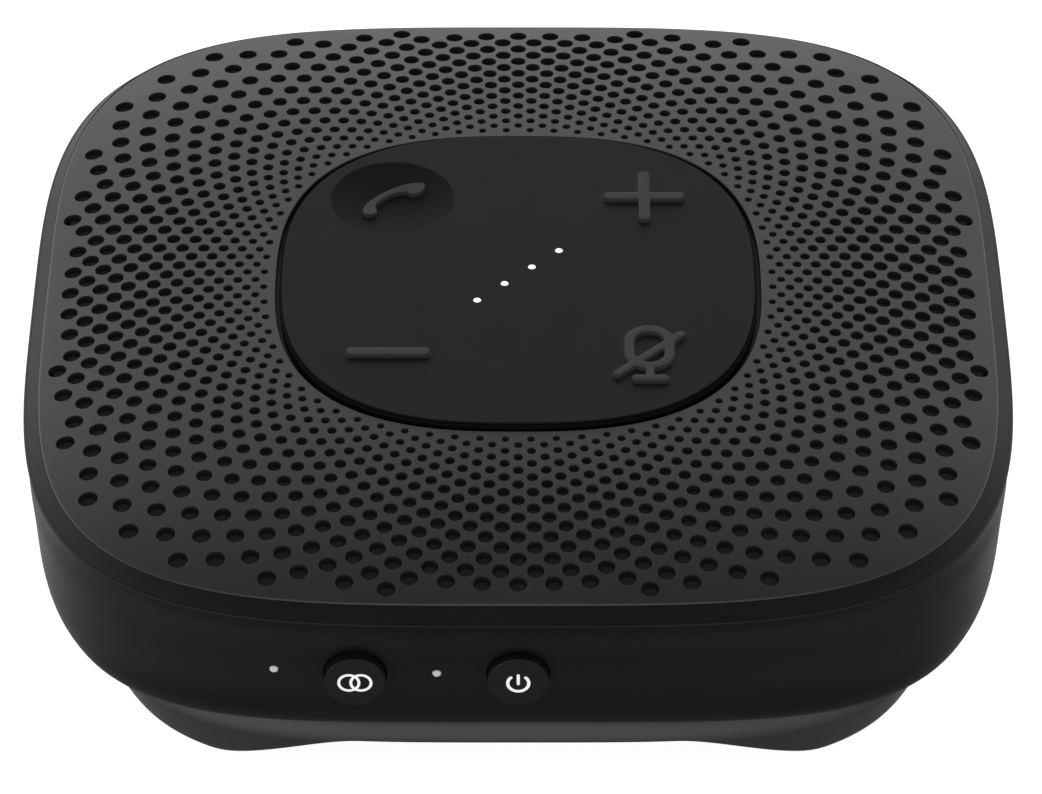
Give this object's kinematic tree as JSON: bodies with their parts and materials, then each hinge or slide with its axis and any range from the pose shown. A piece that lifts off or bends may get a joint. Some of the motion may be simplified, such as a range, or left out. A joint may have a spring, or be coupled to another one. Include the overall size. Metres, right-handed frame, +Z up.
{
  "type": "conference speakerphone",
  "caption": "Square tabletop speakerphone with a domed perforated cover, round-cornered centre keypad, tall black side wall and a charcoal base arched between corner feet.",
  "frame": {"origin": "centre of the footprint on the table plane, at the underside of the four foot pads", "axes": "+Z up; -Y is the front wall with the two buttons; +X to the right seen from the front"},
  "size_m": [0.1268, 0.1273, 0.0401],
  "materials": {
    "case_black": "satin moulded, fine texture",
    "grille_charcoal": "soft satin",
    "base_charcoal": "soft-touch coat",
    "inner_black": "moulded",
    "keypad_silicone": "matt silicone",
    "foot_rubber": "matt",
    "foam_black": "closed cell foam",
    "cloth_black": "fine acoustic weave",
    "spider_cloth": "resin-dipped weave",
    "cone_paper": "fibre cone",
    "board_green": "solder mask",
    "chip_black": "moulded epoxy",
    "switch_grey": "moulded",
    "led_white": "diffused",
    "light_pipe_white": "frosted, clear white",
    "flex_amber": "polyimide film",
    "wire_red": "insulated wire",
    "battery_foil": "foil pouch",
    "basket_steel": "black lacquered steel",
    "zinc_steel": "zinc plated",
    "spring_steel": "spring steel",
    "port_steel": "nickel plated",
    "screw_steel": "black zinc",
    "magnet_ferrite": "sintered ferrite",
    "coil_copper": "copper winding"
  },
  "bodies": {
    "case": {"acoustic_mesh": "cloth_black", "base_plate": "inner_black", "base_screws": "screw_steel", "base_skirt": "base_charcoal", "battery_leads": "wire_red", "battery_pack_left": "battery_foil", "battery_pack_right": "battery_foil", "battery_pads": "foam_black", "board_antenna": "led_white", "board_components": "chip_black", "board_link_cable": "flex_amber", "board_screws": "screw_steel", "board_shield_can": "zinc_steel", "chassis_plate": "inner_black", "chassis_screws": "screw_steel", "driver_basket": "basket_steel", "driver_gasket": "foam_black", "driver_leads": "wire_red", "driver_magnet": "magnet_ferrite", "driver_screws": "screw_steel", "driver_spider": "spider_cloth", "driver_surround": "foot_rubber", "driver_top_plate": "zinc_steel", "driver_yoke": "zinc_steel", "foot_pads": "foot_rubber", "grille_cover": "grille_charcoal", "keypad_board": "board_green", "keypad_dome_switches": "spring_steel", "keypad_flex_cable": "flex_amber", "keypad_leds": "led_white", "keypad_light_pipes": "light_pipe_white", "keypad_membrane": "keypad_silicone", "keypad_tray": "inner_black", "link_light_pipe": "light_pipe_white", "main_board": "board_green", "microphone_boards": "board_green", "microphone_boots": "foot_rubber", "microphone_capsules": "port_steel", "power_light_pipe": "light_pipe_white", "rear_board": "board_green", "side_housing": "case_black", "side_leds": "led_white", "side_switches": "switch_grey", "tray_screws": "screw_steel", "trim_ring": "case_black", "usb_receptacle": "port_steel", "usb_tongue": "inner_black"},
    "call_key": {"call_key": "keypad_silicone"},
    "volume_up_key": {"volume_up_key": "keypad_silicone"},
    "volume_down_key": {"volume_down_key": "keypad_silicone"},
    "mute_key": {"mute_key": "keypad_silicone"},
    "power_button": {"power_button": "case_black", "power_switch_plunger": "switch_grey"},
    "link_button": {"link_button": "case_black", "link_switch_plunger": "switch_grey"},
    "speaker_cone": {"driver_cone": "cone_paper", "driver_voice_coil": "coil_copper", "driver_dust_cap": "cone_paper"}
  },
  "joints": [
    {"name": "call_key_press", "type": "slide", "parent": "case", "child": "call_key", "axis": [0, 0, -1], "range_m": [0, 0.0005]},
    {"name": "volume_up_press", "type": "slide", "parent": "case", "child": "volume_up_key", "axis": [0, 0, -1], "range_m": [0, 0.0005]},
    {"name": "volume_down_press", "type": "slide", "parent": "case", "child": "volume_down_key", "axis": [0, 0, -1], "range_m": [0, 0.0005]},
    {"name": "mute_press", "type": "slide", "parent": "case", "child": "mute_key", "axis": [0, 0, -1], "range_m": [0, 0.0005]},
    {"name": "power_press", "type": "slide", "parent": "case", "child": "power_button", "axis": [0, 1, 0], "range_m": [0, 0.0004]},
    {"name": "link_press", "type": "slide", "parent": "case", "child": "link_button", "axis": [0, 1, 0], "range_m": [0, 0.0004]},
    {"name": "cone_travel", "type": "slide", "parent": "case", "child": "speaker_cone", "axis": [0, 0, 1], "range_m": [-0.0008, 0.0008]}
  ]
}
